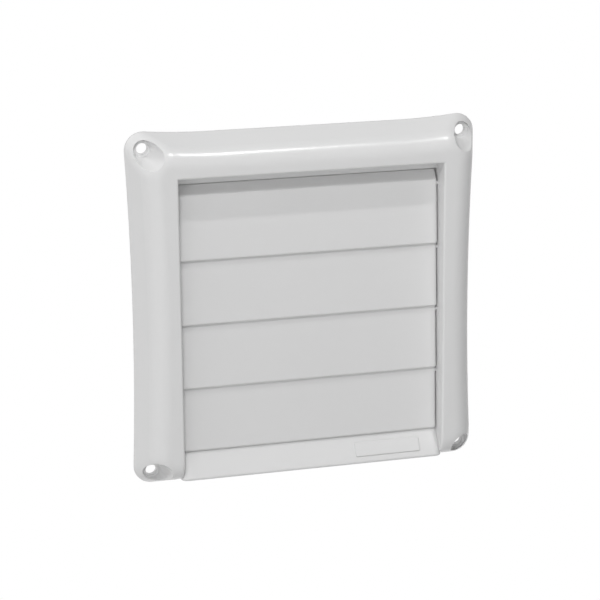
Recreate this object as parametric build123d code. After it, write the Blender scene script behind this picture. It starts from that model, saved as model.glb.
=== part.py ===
from build123d import *
import os
from math import asin, atan2, cos, hypot, radians, sin, tan

# Louvered vent cap for the outside end of a round wall duct.
# Sizes are in millimetres. X runs to the right, Y into the wall and Z up.
# The origin is the middle of the face plate, in the wall plane Y = 0.

# Face plate
PLATE_W = 148.4  # width across the middle
PLATE_H = 150.0  # height across the middle
DEPTH = 18.0  # wall plane to front face
SIDE_FLARE = 2.1  # how far the corners stand out past the middle of an upright side
EAR_RISE = 2.3  # how far the corners rise past the straight top and bottom edges
EAR_RUN = 35.0  # length along the edge over which an ear rises
CORNER_R = 7.8  # corner radius at the wall
FRONT_CORNER_R = 13.0  # corner radius of the skirt carried up to the front face
SKIRT_DRAFT = 19.0  # degrees that the skirt leans in
NOSE_R = 9.0  # rounding between skirt and front face
SKIN = 2.2  # wall of the hollow face plate

# Opening and the box behind it
SIDE_RAIL = 17.2  # middle of an upright side to the opening
TOP_RAIL = 16.3  # top edge to the opening
BOX_WALL = 2.0
OPENING_EDGE_R = 0.9  # softened front edge of the opening
PANEL_T = 1.2  # back panel between box and collar
LEDGE_SETBACK = 10.4  # front face back to the ledge over the top louver
LEDGE_DROP = 3.95  # opening's top down to the ledge's lower edge
LEDGE_T = 1.6
RIB_T = 1.5  # stiffening ribs in the hollow rails
RIB_SPACING = 40.0

# Sill under the lowest louver
SILL_LIFT = 3.5  # bottom edge up to the sill's front edge
SILL_HEIGHT = 11.1  # sill's front edge up to the lip of the lowest louver
SILL_SETBACK = 1.0  # front face back to the sill's front edge
SILL_LAP = 3.0  # how far the sill reaches up behind the lowest lip
SILL_REACH = 0.8  # how far the sill's ends run into the rails
SILL_END_R = 3.4  # rounded ends of the sloped face
SILL_EDGE_R = 0.9
PAD_W = 29.0  # plain raised field on the sill
PAD_H = 6.4
PAD_X = 33.4  # middle of the field, right of the plate's middle
PAD_UP = 6.5  # sill's front edge up the slope to the field's middle
PAD_RISE = 0.35
PAD_CORNER_R = 0.8

# Screw holes, each at the bottom of a funnel
SCREW_INSET_X = 5.3  # middle of an upright side to hole centre
SCREW_INSET_Z = 5.3  # top or bottom edge to hole centre
SCREW_HOLE_D = 4.8
RECESS_FLOOR_D = 6.8
RECESS_DRAFT = 15.0  # degrees
RECESS_FLOOR_T = 3.0
RECESS_WALL = 1.8

# Duct collar
COLLAR_OD = 98.5
COLLAR_WALL = 2.0
COLLAR_L = 32.0
COLLAR_CHAMFER = 0.8

# Louvers
LOUVERS = 4
HEAD_DROP = 8.5  # opening's top down to where a lip above the first louver would end
LIP_SETBACK = 6.6  # front face back to the lips
LIP_OVER_PIVOT = 1.7  # each lip ends this far above the next pivot axis
LIP_AHEAD = 2.9  # lip's face in front of its own pivot axis
FOLD_AHEAD = 1.4  # fold in front of the pivot axis
FOLD_UP = 1.6  # fold above the pivot axis
FOLD_R = 0.8
STRIP_L = 5.25  # bent-back strip above the fold
STRIP_LEAN = 33.0  # degrees that the strip leans back
LOUVER_T = 1.2
LAP_GAP = 0.35  # closed lip to the strip or sill behind it
SIDE_GAP = 0.4  # louver end to box wall
LOUVER_SIDE_R = 1.4  # rounded ends of the louver's face
LIP_R = 0.9
PIN_D = 1.7
PIN_CLEARANCE = 0.06  # radial
PIN_END_GAP = 0.2  # pin's tip short of the box wall's far side

# Places that follow from the sizes above
half_w = PLATE_W / 2
half_h = PLATE_H / 2
half_opening = half_w - SIDE_RAIL
half_louver = half_opening - SIDE_GAP
opening_top = half_h - TOP_RAIL
screw_x = half_w - SCREW_INSET_X
screw_z = half_h - SCREW_INSET_Z
collar_r = COLLAR_OD / 2
bore_r = collar_r - COLLAR_WALL
sill_y = SILL_SETBACK - DEPTH
sill_z = SILL_LIFT - half_h
last_lip_z = sill_z + SILL_HEIGHT
pitch = (opening_top - HEAD_DROP - last_lip_z) / LOUVERS
pivot_y = LIP_SETBACK + LIP_AHEAD - DEPTH
pivot_zs = [opening_top - HEAD_DROP - LIP_OVER_PIVOT - i * pitch for i in range(LOUVERS)]

# A louver's side outline, as (ahead, up) from its pivot axis.
# The face leans a little, so that each lip stands in front of the next louver's strip.
lean = radians(STRIP_LEAN)
lip_drop = pitch - LIP_OVER_PIVOT
tilt = atan2(LIP_AHEAD - FOLD_AHEAD, lip_drop + FOLD_UP)
fold = Vector(FOLD_AHEAD, FOLD_UP)
strip_along = Vector(-sin(lean), cos(lean))
strip_inward = Vector(-cos(lean), -sin(lean))
face_inward = Vector(-cos(tilt), -sin(tilt))
strip_top = fold + strip_along * STRIP_L
strip_top_back = strip_top + strip_inward * LOUVER_T
lip_back = FOLD_AHEAD - (LIP_OVER_PIVOT - FOLD_UP) * tan(lean) + LAP_GAP / cos(lean)

# The sill's slope clears the back of the lowest lip by the lap gap.
lip_back_y = pivot_y - lip_back
sill_run = lip_back_y - sill_y
sill_lean = atan2(sill_run, SILL_HEIGHT) + asin(LAP_GAP / hypot(sill_run, SILL_HEIGHT))
sill_top_z = last_lip_z + SILL_LAP
sill_top_y = sill_y + (sill_top_z - sill_z) * tan(sill_lean)


def plate_outline(inset, corner_r):
    """The plate's outline drawn in by inset: bowed sides, and ears that rise at the corners."""
    side = half_w - inset
    edge = half_h - inset
    out = side + SIDE_FLARE
    up = edge + EAR_RISE
    run = out - EAR_RUN
    edges = [
        ThreePointArc((out, -up), (side, 0), (out, up)),
        TangentArc((run, edge), (out, up), tangent=(1, 0)),
        Line((run, edge), (-run, edge)),
        TangentArc((-run, edge), (-out, up), tangent=(-1, 0)),
        ThreePointArc((-out, up), (-side, 0), (-out, -up)),
        TangentArc((-run, -edge), (-out, -up), tangent=(-1, 0)),
        Line((-run, -edge), (run, -edge)),
        TangentArc((run, -edge), (out, -up), tangent=(1, 0)),
    ]
    face = make_face(edges)
    corners = face.vertices().sort_by(lambda v: -abs(v.X) - abs(v.Y))[:4]
    return fillet(corners, corner_r)


def plate_body(skin):
    """The drafted plate with its rounded front, or the hollow that leaves a wall of skin."""
    slope = tan(radians(SKIRT_DRAFT))
    base_inset = skin / cos(radians(SKIRT_DRAFT))
    height = DEPTH - skin
    base = plate_outline(base_inset, CORNER_R - skin)
    front = plate_outline(base_inset + height * slope, FRONT_CORNER_R - skin)
    body = loft([Plane.XZ * base, Plane.XZ.offset(height) * front], ruled=True)
    rim = body.faces().sort_by(Axis.Y)[0].edges()
    return fillet(rim, NOSE_R - skin)


def across(outline, half_width):
    """A prism along X, its side outline a face drawn in (y, z)."""
    return extrude(Plane.YZ * outline, amount=half_width, both=True)


def block(x, y, z):
    """A box between the (low, high) pairs x, y and z."""
    size = [high - low for low, high in (x, y, z)]
    return Pos(x[0], y[0], z[0]) * Box(*size, align=Align.MIN)


def screw_recesses(grow):
    """The four drafted screw recesses, or their boss walls when grown."""
    start = 0 if grow else RECESS_FLOOR_T
    depth = DEPTH - start
    floor_r = RECESS_FLOOR_D / 2 + grow
    mouth_r = floor_r + depth * tan(radians(RECESS_DRAFT))
    cone = Cone(floor_r, mouth_r, depth, align=(Align.CENTER, Align.CENTER, Align.MIN))
    return [Plane.XZ.offset(start) * Pos(x, z) * cone for x, z in screw_places()]


def screw_places():
    """Hole centres as (x, z)."""
    return [(x, z) for x in (-screw_x, screw_x) for z in (-screw_z, screw_z)]


def rail_hollow():
    """The hollow behind the two side rails and the top rail, left open towards the wall."""
    hollow = plate_body(SKIN)
    wall = half_opening + BOX_WALL
    hollow -= block((-wall, wall), (-DEPTH, 0), (-PLATE_H, opening_top + BOX_WALL))
    hollow -= screw_recesses(RECESS_WALL)
    for i in (-1, 0, 1):
        low, high = i * RIB_SPACING - RIB_T / 2, i * RIB_SPACING + RIB_T / 2
        hollow -= block((-PLATE_W, PLATE_W), (-DEPTH, 0), (low, high))
        hollow -= block((low, high), (-DEPTH, 0), (0, PLATE_H))
    return hollow


def sill():
    """The sloped sill: rounded ends, a plain raised field, and a hollow open at the back."""
    body = across(sill_outline(0), half_opening + SILL_REACH)
    slope = body.faces().sort_by(Axis.Y)[0]
    ends = [edge for edge in slope.edges() if abs(edge.center().X) > half_opening / 2]
    body = fillet(ends, SILL_END_R)
    front_edge = body.edges().filter_by(Axis.X).sort_by(Axis.Y)[0]
    body = fillet(front_edge, SILL_EDGE_R)
    field_plane = Plane(
        origin=(PAD_X, sill_y + PAD_UP * sin(sill_lean), sill_z + PAD_UP * cos(sill_lean)),
        x_dir=(1, 0, 0),
        z_dir=(0, -cos(sill_lean), sin(sill_lean)),
    )
    field = field_plane * RectangleRounded(PAD_W, PAD_H, PAD_CORNER_R)
    body += extrude(field, amount=PAD_RISE, both=True)
    hollow = offset(sill_outline(2 * SKIN), amount=-SKIN, kind=Kind.INTERSECTION)
    return body - across(hollow, half_opening - SKIN)


def sill_outline(back):
    """The sill's side outline in (y, z), with its open back carried on to y = back."""
    under = (sill_z + half_h) / sill_y
    points = [
        (back, back * under - half_h),
        (sill_y, sill_z),
        (sill_top_y, sill_top_z),
        (back, sill_top_z),
    ]
    return make_face(Polyline(points, close=True))


def duct_collar():
    """The round collar behind the panel, with a lead-in at its free end."""
    ring = extrude(Plane.XZ * (Circle(collar_r) - Circle(bore_r)), amount=-COLLAR_L)
    mouth = ring.edges().filter_by(GeomType.CIRCLE).group_by(Axis.Y)[-1]
    return chamfer(mouth.sort_by(SortBy.RADIUS)[-1], COLLAR_CHAMFER)


def housing():
    """Face plate, box with its ledge and back panel, sill and duct collar: one moulding."""
    body = plate_body(0) - rail_hollow()
    body -= block((-half_opening, half_opening), (-DEPTH, 0), (-PLATE_H, opening_top))
    rim = [
        edge
        for edge in body.edges().filter_by_position(Axis.Y, -DEPTH, -DEPTH)
        if max(abs(edge.center().X) - half_opening, edge.center().Z - opening_top) < SKIN / 2
    ]
    body = fillet(rim, OPENING_EDGE_R)
    panel = block((-half_opening, half_opening), (-PANEL_T, 0), (sill_top_z, opening_top))
    panel -= extrude(Plane.XZ * Circle(bore_r), amount=PANEL_T)
    ledge_y = LEDGE_SETBACK - DEPTH
    ledge_z = opening_top - LEDGE_DROP
    ledge = block((-half_opening, half_opening), (ledge_y, ledge_y + LEDGE_T), (ledge_z, opening_top))
    body += [sill(), panel, ledge, duct_collar()]
    body -= screw_recesses(0)
    hole_r = PIN_D / 2 + PIN_CLEARANCE
    screw_hole = Circle(SCREW_HOLE_D / 2)
    body -= [extrude(Plane.XZ * Pos(x, z) * screw_hole, amount=DEPTH) for x, z in screw_places()]
    body -= [pin_rod(hole_r, half_opening, half_opening + BOX_WALL, z) for z in pivot_zs]
    return body


def pin_rod(radius, start, end, z):
    """A pair of short rods on a pivot axis, one at each end of the louver."""
    circle = Plane.YZ.offset(start) * Pos(pivot_y, z) * Circle(radius)
    rod = extrude(circle, amount=end - start)
    return rod + mirror(rod, about=Plane.YZ)


def louver_prism(points, wall):
    """A louver's side outline, from (ahead, up) points, drawn across inside end walls."""
    side = make_face(Polyline([(pivot_y - p.X, p.Y) for p in points], close=True))
    return across(side, half_louver - wall)


def louver(z):
    """One louver: a shallow tray, open at the back, with a bent-back strip and two pins."""
    lip = Vector(LIP_AHEAD, -lip_drop)
    flange_bend = -lip_drop + (lip_back - strip_top_back.X) / tan(lean)
    outline = [
        lip,
        fold,
        strip_top,
        strip_top_back,
        Vector(strip_top_back.X, flange_bend),
        Vector(lip_back, -lip_drop),
    ]
    body = louver_prism(outline, 0)
    fold_edge = body.edges().filter_by(Axis.X).sort_by_distance((0, pivot_y - fold.X, fold.Y))[0]
    body = fillet(fold_edge, FOLD_R)
    front = [face for face in body.faces() if face.normal_at().Y < -cos(2 * lean)]
    ends = [edge for face in front for edge in face.edges() if abs(edge.center().X) > half_opening / 2]
    body = fillet(ends, LOUVER_SIDE_R)
    lip_edge = body.edges().filter_by(Axis.X).sort_by_distance((0, pivot_y - lip.X, lip.Y))[0]
    body = fillet(lip_edge, LIP_R)
    inner_fold = fold + (face_inward + strip_inward) * (LOUVER_T / (1 + cos(lean - tilt)))
    floor = LOUVER_T - lip_drop
    past_top = strip_top_back + strip_along * LOUVER_T
    past_back = past_top.X - LOUVER_T
    pocket = [
        Vector(inner_fold.X + (inner_fold.Y - floor) * tan(tilt), floor),
        inner_fold,
        past_top,
        Vector(past_back, past_top.Y),
        Vector(past_back, floor),
    ]
    body -= louver_prism(pocket, LOUVER_T)
    pin_root = half_louver - 2 * LOUVER_T
    body += pin_rod(PIN_D / 2, pin_root, half_opening + BOX_WALL - PIN_END_GAP, 0)
    return Pos(0, 0, z) * body


os.makedirs("parts", exist_ok=True)
export_step(housing(), "parts/housing.step")
for number, z in enumerate(pivot_zs, start=1):
    export_step(louver(z), f"parts/louver_{number}.step")
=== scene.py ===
from math import radians

import bmesh
import bpy
from mathutils import Matrix, Vector


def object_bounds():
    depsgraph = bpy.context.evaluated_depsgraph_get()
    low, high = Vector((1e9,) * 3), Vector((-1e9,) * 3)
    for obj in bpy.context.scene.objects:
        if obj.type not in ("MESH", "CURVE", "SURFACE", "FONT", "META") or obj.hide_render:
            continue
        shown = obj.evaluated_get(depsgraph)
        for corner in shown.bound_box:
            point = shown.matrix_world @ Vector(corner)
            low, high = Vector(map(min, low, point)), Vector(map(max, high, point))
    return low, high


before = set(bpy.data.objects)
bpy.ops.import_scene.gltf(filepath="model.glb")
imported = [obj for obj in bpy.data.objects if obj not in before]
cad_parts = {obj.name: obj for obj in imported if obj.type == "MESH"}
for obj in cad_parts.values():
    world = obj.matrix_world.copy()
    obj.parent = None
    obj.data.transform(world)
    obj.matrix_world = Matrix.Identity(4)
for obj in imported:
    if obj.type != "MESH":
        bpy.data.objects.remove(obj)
cad_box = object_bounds()

# Housing
# One injection moulding in white plastic: the face plate with its rounded rails and screw recesses, the sill,
# the box that carries the louvers, and the collar for the duct.
# Screws through its four corners hold it to a wall.

MM = 0.001
WHITE = "#e8e8e8"
WHITE_SHADED = "#e5e5e5"
CLOUD_SIZE = 35.7 * MM
PATCH_SIZE = 7.14 * MM
FLOW_SIZE = 41.7 * MM
FLOW_RELIEF = 0.3 * MM
FLOW_STRENGTH = 0.3
EDGE_RADIUS = 0.6 * MM
PLASTIC_IOR = 1.49
HOUSING_ROUGHNESS = (0.23, 0.27)


def linear(code):
    """An sRGB colour such as "#e6e6e4" as linear RGBA."""
    parts = [int(code[i : i + 2], 16) / 255 for i in (1, 3, 5)]
    return [c / 12.92 if c <= 0.04045 else ((c + 0.055) / 1.055) ** 2.4 for c in parts] + [1.0]


def add(tree, kind, inputs=None, **settings):
    """A new node. Each input, by its socket's name or number, is a value or an output to link."""
    node = tree.nodes.new("ShaderNode" + kind)
    for name, value in settings.items():
        setattr(node, name, value)
    for socket, value in (inputs or {}).items():
        if isinstance(value, bpy.types.NodeSocket):
            tree.links.new(value, node.inputs[socket])
        else:
            node.inputs[socket].default_value = value
    return node


def moulded_polypropylene(name, roughness):
    """White polypropylene from a smooth mould, with its lowest and highest roughness.

    To the eye it is an even satin white. Its tone and gloss differ a little from place to place, the
    plastic's flow leaves slow waves in the highlights, and the mould leaves every edge slightly soft.
    The patches of gloss are drawn coarser than real ones, so that they show.
    """
    material = bpy.data.materials.new(name)
    material.use_nodes = True
    tree = material.node_tree
    tree.nodes.clear()
    place = add(tree, "TexCoord").outputs["Object"]
    cloud = add(
        tree,
        "TexNoise",
        {"Vector": place, "Scale": 1 / CLOUD_SIZE, "Detail": 3.0, "Roughness": 0.55},
    )
    colour = add(
        tree,
        "MixRGB",
        {"Fac": cloud.outputs["Fac"], "Color1": linear(WHITE_SHADED), "Color2": linear(WHITE)},
    )
    patches = add(tree, "TexNoise", {"Vector": place, "Scale": 1 / PATCH_SIZE, "Detail": 4.0})
    low, high = roughness
    gloss = add(tree, "MapRange", {"Value": patches.outputs["Fac"], "To Min": low, "To Max": high})
    edge = add(tree, "Bevel", {"Radius": EDGE_RADIUS}, samples=6)
    flow = add(tree, "TexNoise", {"Vector": place, "Scale": 1 / FLOW_SIZE, "Detail": 0.0})
    wave = add(
        tree,
        "Bump",
        {
            "Strength": FLOW_STRENGTH,
            "Distance": FLOW_RELIEF,
            "Height": flow.outputs["Fac"],
            "Normal": edge.outputs["Normal"],
        },
    )
    shader = add(
        tree,
        "BsdfPrincipled",
        {
            "Base Color": colour.outputs["Color"],
            "Roughness": gloss.outputs["Result"],
            "IOR": PLASTIC_IOR,
            "Normal": wave.outputs["Normal"],
        },
    )
    add(tree, "OutputMaterial", {"Surface": shader.outputs["BSDF"]})
    return material


def paint(piece, material):
    """Gives a moulded piece its material."""
    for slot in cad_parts[piece].material_slots:
        slot.material = material


paint("housing", moulded_polypropylene("white_moulding", HOUSING_ROUGHNESS))

# Louvers
# Four equal thin mouldings of the same white plastic, a shade less glossy than the housing.
# Each has a bent-back top strip, side flanges and two short pins.
# The pins turn in the side walls of the housing's box.

LOUVERS = 4
LOUVER_ROUGHNESS = (0.33, 0.38)

louver_plastic = moulded_polypropylene("white_louver", LOUVER_ROUGHNESS)
for number in range(1, LOUVERS + 1):
    paint(f"louver_{number}", louver_plastic)

# Floor
# A plain pale floor well below the part, which hangs on a wall.
# It shows as white, like the background, and throws a little light up at the part.

FLOOR_DROP = 0.2
FLOOR_SIZE = 8.0
FLOOR_COLOUR = "#d8d8d8"
PURE_WHITE = (1.0, 1.0, 1.0, 1.0)


def shown_white(tree, shader):
    """White for the rays that show the background, and the given shader for those that light the part."""
    path = add(tree, "LightPath").outputs
    seen = path["Is Camera Ray"]
    for kind in ("Is Glossy Ray", "Is Transmission Ray"):
        seen = add(tree, "Math", {0: seen, 1: path[kind]}, operation="MAXIMUM").outputs[0]
    white = add(tree, "Emission", {"Color": PURE_WHITE, "Strength": 1.0})
    return add(tree, "MixShader", {0: seen, 1: shader, 2: white.outputs[0]}).outputs[0]


floor_place = Matrix.Translation((0.0, 0.0, cad_box[0][2] - FLOOR_DROP))
floor_shape = bmesh.new()
bmesh.ops.create_grid(floor_shape, x_segments=1, y_segments=1, size=FLOOR_SIZE / 2, matrix=floor_place)
floor_mesh = bpy.data.meshes.new("floor")
floor_shape.to_mesh(floor_mesh)
floor_shape.free()
floor = bpy.data.objects.new("floor", floor_mesh)
bpy.context.scene.collection.objects.link(floor)
floor_material = bpy.data.materials.new("pale_floor")
floor_material.use_nodes = True
floor_tree = floor_material.node_tree
floor_tree.nodes.clear()
matte = add(floor_tree, "BsdfDiffuse", {"Color": linear(FLOOR_COLOUR)})
add(floor_tree, "OutputMaterial", {"Surface": shown_white(floor_tree, matte.outputs[0])})
floor_mesh.materials.append(floor_material)

# Light
# Soft light that is strongest from the left and fades to the right, and four square lamps.
# Of the lamps, only the key shows in the plastic's gloss.

# The soft light is FILL_STRONG from FILL_FROM. It ends where the angle from there has a cosine of FILL_EDGE.
FILL_FROM = Vector((-0.97, 0.0, -0.24)).normalized()
FILL_STRONG = 0.96
FILL_EDGE = -0.8

world = bpy.data.worlds.new("studio")
bpy.context.scene.world = world
world.use_nodes = True
sky = world.node_tree
sky.nodes.clear()
direction = add(sky, "TexCoord").outputs["Generated"]
facing = add(sky, "VectorMath", {0: direction, 1: FILL_FROM}, operation="DOT_PRODUCT")
level = add(
    sky,
    "MapRange",
    {
        "Value": facing.outputs["Value"],
        "From Min": FILL_EDGE,
        "From Max": 1.0,
        "To Min": 0.0,
        "To Max": FILL_STRONG,
    },
)
fill = add(sky, "Background", {"Color": PURE_WHITE, "Strength": level.outputs["Result"]})
add(sky, "OutputWorld", {"Surface": shown_white(sky, fill.outputs[0])})


def lamp(name, place, energy, size, glint=False):
    """A square lamp that faces the part's middle. With glint, it also shows in gloss."""
    data = bpy.data.lights.new(name, "AREA")
    data.energy = energy
    data.size = size
    light = bpy.data.objects.new(name, data)
    light.location = place
    light.rotation_euler = (-Vector(place)).to_track_quat("-Z", "Y").to_euler()
    light.visible_glossy = glint
    bpy.context.scene.collection.objects.link(light)


# The key makes the highlight along the top rail and the top louver's step of shade.
lamp("key", place=(0.22, -0.44, 1.17), energy=3.2, size=0.04, glint=True)
# The high fill is small, so that the dark band under the opening's top edge has a sharp lower edge.
lamp("high_fill", place=(-0.28, -0.76, 0.836), energy=3.55, size=0.12)
# Two large lamps light the front from below and the back.
lamp("front_fill", place=(-0.50, -0.95, -0.20), energy=2.1, size=0.8)
lamp("back_fill", place=(0.20, 1.15, 0.10), energy=5.0, size=0.8)

# Camera
# The photograph's viewing angle: from the left and a little above.

CAMERA_PLACE = (-0.22826, -0.8334, 0.23747)
CAMERA_TURN_DEGREES = (74.5807, 0.4785, -15.352)
CAMERA_LENS = 125.67
CAMERA_SENSOR = 36.0

camera_data = bpy.data.cameras.new("camera")
camera_data.sensor_width = CAMERA_SENSOR
camera_data.lens = CAMERA_LENS
camera = bpy.data.objects.new("camera", camera_data)
camera.location = CAMERA_PLACE
camera.rotation_euler = [radians(angle) for angle in CAMERA_TURN_DEGREES]
bpy.context.scene.collection.objects.link(camera)
bpy.context.scene.camera = camera
bpy.context.scene.view_settings.view_transform = "Standard"
